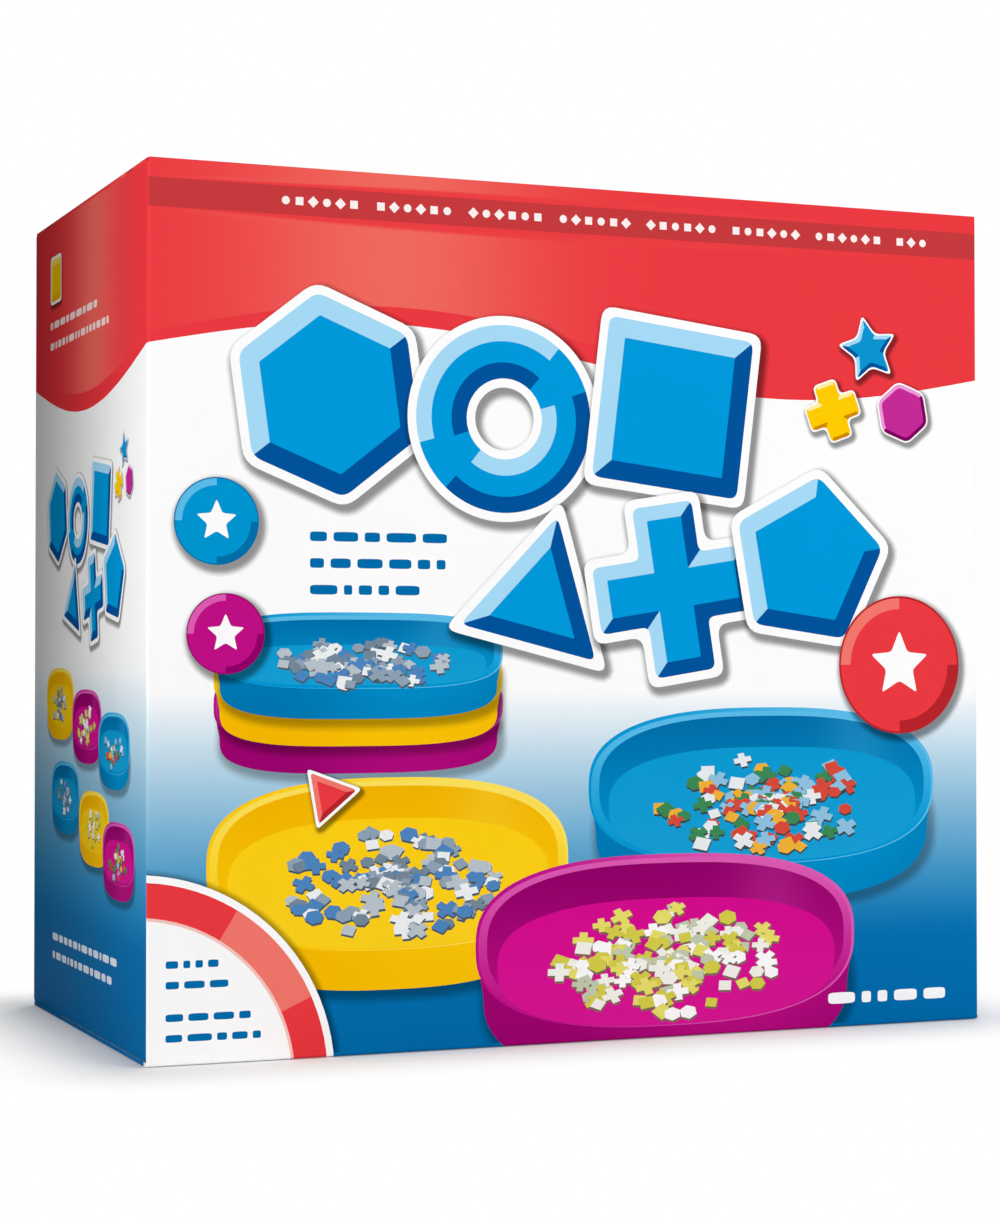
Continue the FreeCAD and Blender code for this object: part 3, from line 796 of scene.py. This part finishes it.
def printed_board():
    """Offset print on coated board under satin varnish: the eye sees flat, rich inks with next to no reflection,
    and the faint unevenness of varnish on board."""
    material, tree, surface = finish("satin_varnish_over_print", {"Specular IOR Level": 0.004, "IOR": 1.49})
    place = add(tree, "ShaderNodeTexCoord")
    ink = add(tree, "ShaderNodeAttribute", attribute_name="ink")
    cloud = add(tree, "ShaderNodeTexNoise", {"Scale": per_metre(VARNISH_PATCH), "Detail": 3.0, "Roughness": 0.55},
                {"Vector": (place, "Object")})
    light = add(tree, "ShaderNodeMapRange", {"From Min": 0.3, "From Max": 0.7, "To Min": 0.99, "To Max": 1.005},
                {"Value": (cloud, "Fac")})
    toned = add(tree, "ShaderNodeVectorMath", None, {0: (ink, "Color"), 3: (light, "Result")}, operation="SCALE")
    grain = add(tree, "ShaderNodeTexNoise", {"Scale": per_metre(BOARD_FIBRE), "Detail": 2.0},
                {"Vector": (place, "Object")})
    rough = add(tree, "ShaderNodeMapRange", {"From Min": 0.3, "From Max": 0.7, "To Min": 0.48, "To Max": 0.52},
                {"Value": (cloud, "Fac")})
    bump = add(tree, "ShaderNodeBump", {"Strength": 0.03, "Distance": 0.0001}, {"Height": (grain, "Fac")})
    link(tree, surface, {"Base Color": (toned, 0), "Roughness": (rough, "Result"), "Normal": (bump, "Normal")})
    return material


def outside(tree, place, half_x, half_y):
    """|place| - half size: how far past those half sizes, in millimetres, a place lies in x and in y."""
    size = add(tree, "ShaderNodeVectorMath", None, {0: (place, "Object")}, operation="ABSOLUTE")
    return add(tree, "ShaderNodeVectorMath", {1: (half_x * MM, half_y * MM, 0.0)}, {0: (size, "Vector")},
               operation="SUBTRACT")


def plain_board(name, light_code, dark_code, bleed=None):
    """Uncoated folding boxboard: matt, off-white, with fine flecks of fibre. bleed is the ink where the next panel's
    print runs on past the crease, and how far from the middle it starts in x and in y."""
    material, tree, surface = finish(name, {"Specular IOR Level": 0.05, "Roughness": 0.85})
    place = add(tree, "ShaderNodeTexCoord")
    fleck = add(tree, "ShaderNodeTexNoise", {"Scale": per_metre(BOARD_FIBRE), "Detail": 4.0, "Roughness": 0.7},
                {"Vector": (place, "Object")})
    ramp_node = add(tree, "ShaderNodeValToRGB", None, {"Fac": (fleck, "Fac")})
    ends = ramp_node.color_ramp.elements
    ends[0].position, ends[1].position = 0.32, 0.62
    ends[0].color = (*linear(rgb(dark_code)), 1.0)
    ends[1].color = (*linear(rgb(light_code)), 1.0)
    bump = add(tree, "ShaderNodeBump", {"Strength": 0.25, "Distance": 0.0001}, {"Height": (fleck, "Fac")})
    link(tree, surface, {"Base Color": (ramp_node, "Color"), "Normal": (bump, "Normal")})
    if bleed:
        code, *starts = bleed
        apart = add(tree, "ShaderNodeSeparateXYZ", links={0: (outside(tree, place, *starts), "Vector")})
        most = add(tree, "ShaderNodeMath", None, {0: (apart, "X"), 1: (apart, "Y")}, operation="MAXIMUM")
        share = add(tree, "ShaderNodeMath", {1: 0.0}, {0: (most, "Value")}, operation="GREATER_THAN")
        inked = add(tree, "ShaderNodeMix", {7: (*linear(rgb(code)), 1.0)},
                    {0: (share, "Value"), 6: (ramp_node, "Color")}, data_type="RGBA")
        link(tree, surface, {"Base Color": (inked, 2)})
    return material


def moulded_plastic(name, code, deep_code):
    """Injection-moulded polypropylene with a polished face: even colour, soft gloss and a trace of flow marks."""
    material, tree, surface = finish(name, {
        "IOR": 1.49, "Specular IOR Level": 0.22, "Subsurface Weight": 0.04, "Subsurface Scale": 0.003,
    })
    place = add(tree, "ShaderNodeTexCoord")
    flow = add(tree, "ShaderNodeTexNoise", {"Scale": per_metre(MOULD_FLOW), "Detail": 1.0},
               {"Vector": (place, "Object")})
    share = add(tree, "ShaderNodeMapRange", {"From Min": 0.1, "From Max": 0.9, "To Min": 0.0, "To Max": 0.3},
                {"Value": (flow, "Fac")})
    hue = add(tree, "ShaderNodeMix", {6: (*linear(rgb(code)), 1.0), 7: (*linear(rgb(deep_code)), 1.0)},
              {0: (share, "Result")}, data_type="RGBA")
    rough = add(tree, "ShaderNodeMapRange", {"From Min": 0.1, "From Max": 0.9, "To Min": 0.24, "To Max": 0.3},
                {"Value": (flow, "Fac")})
    skin = add(tree, "ShaderNodeTexNoise", {"Scale": per_metre(MOULD_SKIN), "Detail": 1.0},
               {"Vector": (place, "Object")})
    bump = add(tree, "ShaderNodeBump", {"Strength": 0.05, "Distance": 0.0002}, {"Height": (skin, "Fac")})
    link(tree, surface, {"Base Color": (hue, 2), "Roughness": (rough, "Result"), "Normal": (bump, "Normal")})
    return material


film = printed_board()
BARE_LIGHT, BARE_DARK = "#F0EEE9", "#E2DFD7"
inside_board = plain_board("uncoated_boxboard", BARE_LIGHT, BARE_DARK)
cut_edge = plain_board("cut_boxboard_edge", "#F0EEE8", "#DCD8CE")
tray_finishes = [
    moulded_plastic("blue_polypropylene", "#0098D4", "#0078B0"),
    moulded_plastic("yellow_polypropylene", "#FFCC00", "#F0AE00"),
    moulded_plastic("magenta_polypropylene", "#C4108C", "#9C0474"),
]


# The printed panels. Towards an upright crease the print wraps round half of its small radius.

HALF_W, HALF_D = 0.5 * WIDTH, 0.5 * DEPTH


def wrapped(u, width):
    """Along and behind the flat face, for a print u across: within the crease radius the sheet turns through up to
    45 degrees, so the place is r - r sin t along and r - r cos t behind, with t growing evenly towards the edge."""
    t = np.pi / 4.0 * (np.clip(CREASE - u, 0.0, CREASE) - np.clip(u - (width - CREASE), 0.0, CREASE)) / CREASE
    swept = CREASE * np.sin(t)
    along = np.where(u < CREASE, CREASE - swept, np.where(u > width - CREASE, width - CREASE - swept, u))
    return along, CREASE - CREASE * np.cos(t)


def upright(width, to_frame, inner_top):
    """outer and inner for an upright panel whose two edges are mitred creases. to_frame takes along, behind and up.
    The inner face stops at inner_top, which is a board lower where the top edge is mitred too."""
    def outer(p):
        along, behind = wrapped(p[:, 0], width)
        return to_frame(along, behind, p[:, 1]) * MM

    def inner(p):
        along, _ = wrapped(p[:, 0], width)
        along = np.clip(along, BOARD, width - BOARD)
        return to_frame(along, np.full(len(p), BOARD), np.minimum(p[:, 1], inner_top)) * MM

    return outer, inner


def crease_lines(width, low, high):
    """Lines up the print inside each crease radius, so that it turns in three steps."""
    up = np.arange(low, high + 0.01, 9.0)
    up[-1] = high
    steps = np.array([0.34, 0.67, 1.0]) * CREASE
    return [columns(np.full(len(up), x), up) for x in (*steps, *(width - steps[::-1]))]


SIDE_TOP = HEIGHT - BOARD - 0.02  # a hair below the line that the dust flap turns on
walls = [
    ("front", WIDTH, front_print(), BOARD, HEIGHT, HEIGHT, lambda a, b, z: columns(a - HALF_W, b - HALF_D, z)),
    ("left", DEPTH, left_print(), 2 * BOARD, SIDE_TOP, SIDE_TOP - BOARD,
     lambda a, b, z: columns(b - HALF_W, HALF_D - a, z)),
    ("right", DEPTH, right_print(), 2 * BOARD, SIDE_TOP, SIDE_TOP - BOARD,
     lambda a, b, z: columns(HALF_W - b, a - HALF_D, z)),
    ("back", WIDTH, back_print(), 2 * BOARD, HEIGHT, HEIGHT - BOARD,
     lambda a, b, z: columns(HALF_W - a, HALF_D - b, z)),
]
for wall, width, layers, low, high, inner_top, to_frame in walls:
    outer, inner = upright(width, to_frame, inner_top)
    board_panel(f"{wall}_print_panel", "carton", f"{wall}_panel", rectangle(0.0, low, width, high), layers,
                outer, inner, crease_lines(width, low, high), raw_edge=wall == "front")


# The lid, seen from above with the front edge low. Its front and back edges are mitred.

def lid_outer(p):
    """Level with the carton's height."""
    return columns(p[:, 0] - HALF_W, p[:, 1] - HALF_D, np.full(len(p), HEIGHT)) * MM


def lid_inner(p):
    """A board lower, and held between the two mitres."""
    back = np.clip(p[:, 1] - HALF_D, LID_FRONT - HALF_D + TUCK_MITRE, HALF_D - BOARD)
    return columns(p[:, 0] - HALF_W, back, np.full(len(p), HEIGHT - BOARD)) * MM


board_panel("lid_print_panel", "lid", "lid_panel", rectangle(FLAP_PLAY, LID_FRONT, WIDTH - FLAP_PLAY, DEPTH),
            lid_print(), lid_outer, lid_inner)

# The tuck flap, seen from the front and hanging from the lid's front edge, with its inner face leaning inwards
tuck_half = HALF_W - TUCK_SIDE
quarter = np.radians(np.linspace(0.0, 90.0, 12))
corner_x, corner_y = tuck_half - TUCK_CORNER, TUCK_CORNER - TUCK_LENGTH
right_round = columns(corner_x + TUCK_CORNER * np.sin(quarter), corner_y - TUCK_CORNER * np.cos(quarter))
left_round = (right_round * np.array([-1.0, 1.0]))[::-1]
top_edge = columns(np.linspace(tuck_half, -tuck_half, 60), np.zeros(60))
tuck_outline = np.concatenate([right_round, top_edge, left_round])


def tuck_place(x, out, down):
    """A point of the flap that is down from its crease and out from its outer face, turned by the lean."""
    y = out * math.cos(TUCK_LEAN) + down * math.sin(TUCK_LEAN)
    z = out * math.sin(TUCK_LEAN) - down * math.cos(TUCK_LEAN)
    return columns(x, y + LID_FRONT - HALF_D, z + HEIGHT) * MM


board_panel("tuck_print_panel", "tuck", "tuck_flap", tuck_outline, tuck_print(),
            lambda p: tuck_place(p[:, 0], np.zeros(len(p)), -p[:, 1]),
            lambda p: tuck_place(p[:, 0], np.full(len(p), BOARD), np.maximum(-p[:, 1], TUCK_MITRE)),
            raw_edge=True)

# The bottom, seen from below with the front edge high, where its print turns up round the crease to the front's
QUARTER_BEND = 0.5 * math.pi * CREASE
TURNED = DEPTH - CREASE + QUARTER_BEND - CREASE


def bottom_outer(p):
    """Flat up to the crease, then a quarter turn, t = s/r, to r - r cos t high, and straight up from there."""
    past = np.maximum(p[:, 1] - (DEPTH - CREASE), 0.0)
    t = np.minimum(past / CREASE, 0.5 * np.pi)
    y = np.where(past > 0.0, -HALF_D + CREASE - CREASE * np.sin(t), HALF_D - p[:, 1])
    z = CREASE - CREASE * np.cos(t) + np.maximum(past - QUARTER_BEND, 0.0)
    return columns(p[:, 0] - HALF_W, y, z) * MM


def bottom_inner(p):
    """The outer face's places along and across, all at a board's height."""
    place = bottom_outer(p)
    place[:, 2] = BOARD * MM
    return place


across_bend = np.linspace(FLAP_PLAY, WIDTH - FLAP_PLAY, 60)
bend_rows = [columns(across_bend, np.full(60, DEPTH - CREASE + k * QUARTER_BEND / 5)) for k in range(6)]
board_panel("bottom_print_panel", "carton", "bottom_panel",
            rectangle(FLAP_PLAY, FLAP_PLAY, WIDTH - FLAP_PLAY, TURNED + BOARD), foot_print(TURNED),
            bottom_outer, bottom_inner, bend_rows)


# The carried-over flaps and trays keep their solids, the trays with softened edges

def refinish(node_name, material):
    """Gives a carried-over node its finish."""
    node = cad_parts[node_name]
    node.data.materials.clear()
    node.data.materials.append(material)
    return node


NO_BLEED = 1000.0  # farther than any place on the carton
bleeds = {
    "bottom_back_flap": (SEA_DEEP, HALF_W - 1.0, HALF_D - 1.5),
    "bottom_left_flap": (SEA_DEEP, HALF_W - 1.5, NO_BLEED),
    "bottom_right_flap": (SEA_DEEP, HALF_W - 1.5, NO_BLEED),
    "dust_flap_left": (RED, HALF_W - 3.0, NO_BLEED),
    "dust_flap_right": (RED, HALF_W - 3.0, NO_BLEED),
}
for node_name, bleed in bleeds.items():
    refinish(node_name, plain_board(f"boxboard_with_bleed_{node_name}", BARE_LIGHT, BARE_DARK, bleed))
refinish("glue_flap", inside_board)
for k in range(6):
    node = refinish(f"tray_{k + 1}", tray_finishes[k % 3])
    weld = node.modifiers.new("weld", "WELD")
    weld.merge_threshold = 1e-6
    edge = node.modifiers.new("edge", "BEVEL")
    edge.width = 0.5 * MM
    edge.segments = 2
    edge.limit_method = "ANGLE"
    edge.angle_limit = math.radians(32.0)
    node.modifiers.new("even_shading", "WEIGHTED_NORMAL")


# Stage: a pale floor that is white away from the object, soft lamps, and a white world behind

def background_ray(tree):
    """1 for the rays that show the background: camera, glossy and transmission rays."""
    ray = add(tree, "ShaderNodeLightPath")
    either = add(tree, "ShaderNodeMath", None, {0: (ray, "Is Camera Ray"), 1: (ray, "Is Glossy Ray")},
                 operation="MAXIMUM")
    return add(tree, "ShaderNodeMath", None, {0: (either, "Value"), 1: (ray, "Is Transmission Ray")},
               operation="MAXIMUM")


def white_beyond(tree, surface, near, far):
    """Mixes a shader with plain white by how far the place is outside the carton's footprint, the length of
    max(|place| - half size, 0), for rays that show the background."""
    past = outside(tree, add(tree, "ShaderNodeTexCoord"), HALF_W, HALF_D)
    out = add(tree, "ShaderNodeVectorMath", {1: (0.0, 0.0, 0.0)}, {0: (past, "Vector")}, operation="MAXIMUM")
    away = add(tree, "ShaderNodeVectorMath", None, {0: (out, "Vector")}, operation="LENGTH")
    share = add(tree, "ShaderNodeMapRange", {"From Min": near, "From Max": far}, {"Value": (away, "Value")},
                interpolation_type="SMOOTHERSTEP")
    factor = add(tree, "ShaderNodeMath", None, {0: (share, "Result"), 1: (background_ray(tree), "Value")},
                 operation="MULTIPLY")
    white = add(tree, "ShaderNodeEmission", {"Color": (1.0, 1.0, 1.0, 1.0), "Strength": 1.0})
    return add(tree, "ShaderNodeMixShader", None,
               {0: (factor, "Value"), 1: (surface, "BSDF"), 2: (white, "Emission")})


FLOOR_RADIUS = 6.0
FLOOR_GAP = 0.2 * MM  # between the floor and the bottom, so that the two never share a plane
floor_rim = disc((0.0, 0.0), FLOOR_RADIUS, 64)
floor_mesh = bpy.data.meshes.new("floor")
floor_mesh.from_pydata([(x, y, 0.0) for x, y in floor_rim.tolist()], [], [list(range(len(floor_rim)))])
floor = placed("floor", floor_mesh)
floor.location.z = -FLOOR_GAP
floor_material, floor_tree, floor_surface = finish("pale_floor", {"Color": (0.9, 0.9, 0.9, 1.0)},
                                                   "ShaderNodeBsdfDiffuse")
floor_mix = white_beyond(floor_tree, floor_surface, -0.02, 0.055)
link(floor_tree, floor_tree.nodes["Material Output"], {"Surface": (floor_mix, "Shader")})
floor_mesh.materials.append(floor_material)
floor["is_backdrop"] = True


def lamp(name, place, aim, wide, tall, power, spread=180.0):
    """A soft rectangular lamp at place, turned towards aim, its light kept within spread degrees."""
    data = bpy.data.lights.new(name, "AREA")
    data.shape = "RECTANGLE"
    data.size, data.size_y = wide, tall
    data.energy = power
    data.spread = math.radians(spread)
    made = placed(name, data)
    made.location = place
    made.rotation_euler = (Vector(aim) - Vector(place)).to_track_quat("-Z", "Y").to_euler()


def card(name, corners, grey):
    """A matt sheet of that grey, which no camera sees."""
    mesh = bpy.data.meshes.new(name)
    mesh.from_pydata(corners, [], [(0, 1, 2, 3)])
    mesh.materials.append(finish(f"{name}_paper", {"Color": (grey, grey, grey, 1.0)}, "ShaderNodeBsdfDiffuse")[0])
    made = placed(name, mesh)
    made.visible_camera = False
    made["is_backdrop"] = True


# A black card beside and behind the carton, and a grey one on the floor beyond its shadow, keep the left side in the
# shade that falls off towards its far edge
card("shade_card", [(-1.3, -0.1, 0.0), (-0.1, 1.1, 0.0), (-0.1, 1.1, 1.3), (-1.3, -0.1, 1.3)], 0.02)
card("floor_card", [(-1.4, -0.9, 0.001), (-0.21, -0.9, 0.001), (-0.21, 0.9, 0.001), (-1.4, 0.9, 0.001)], 0.4)

lamp("left_front_lamp", (-0.42, -0.85, 0.45), (0.0, -0.05, 0.14), 0.35, 0.35, 1.95)
lamp("near_crease_strip", (-0.42, -0.11, 0.15), (-0.141, -0.085, 0.15), 0.04, 0.6, 0.2, 62.0)
lamp("right_front_lamp", (0.75, -1.1, 0.6), (0.02, -0.05, 0.14), 0.7, 0.7, 6.7)
lamp("back_lamp", (0.9, 1.2, 0.9), (0.0, 0.0, 0.12), 0.8, 0.8, 8.5)
lamp("top_lamp", (0.1, 0.0, 1.4), (0.0, 0.0, 0.1), 0.8, 0.8, 4.6)

# The world lights with 0.3, and is plain white where it is seen
world = bpy.data.worlds.new("studio")
bpy.context.scene.world = world
world.use_nodes = True
world_tree = world.node_tree
world_tree.nodes.clear()
strength = add(world_tree, "ShaderNodeMapRange", {"To Min": 0.3, "To Max": 1.0},
               {"Value": (background_ray(world_tree), "Value")})
sky_light = add(world_tree, "ShaderNodeBackground", {"Color": (1.0, 1.0, 1.0, 1.0)},
                {"Strength": (strength, "Result")})
add(world_tree, "ShaderNodeOutputWorld", links={"Surface": (sky_light, "Background")})

# Camera: placed and aimed so that the carton's corners fall as near to the photograph's as one true lens allows
PHOTO_HEIGHT = 1222
FOCAL_PIXELS = 2648.7
SENSOR = 36.0
AIM_TURN, AIM_RISE = math.radians(22.061), math.radians(1.068)
camera_data = bpy.data.cameras.new("camera")
camera_data.sensor_width = SENSOR
camera_data.lens = FOCAL_PIXELS * SENSOR / PHOTO_HEIGHT
camera = placed("camera", camera_data)
camera.location = (-0.3356, -0.8314, 0.1185)
level_part = math.cos(AIM_RISE)
ahead = Vector((math.sin(AIM_TURN) * level_part, math.cos(AIM_TURN) * level_part, math.sin(AIM_RISE)))
camera.rotation_euler = ahead.to_track_quat("-Z", "Y").to_euler()
bpy.context.scene.camera = camera
bpy.context.scene.view_settings.view_transform = "Standard"

low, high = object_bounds()
{"cad": [list(cad_low), list(cad_high)], "visual": [list(low), list(high)]}
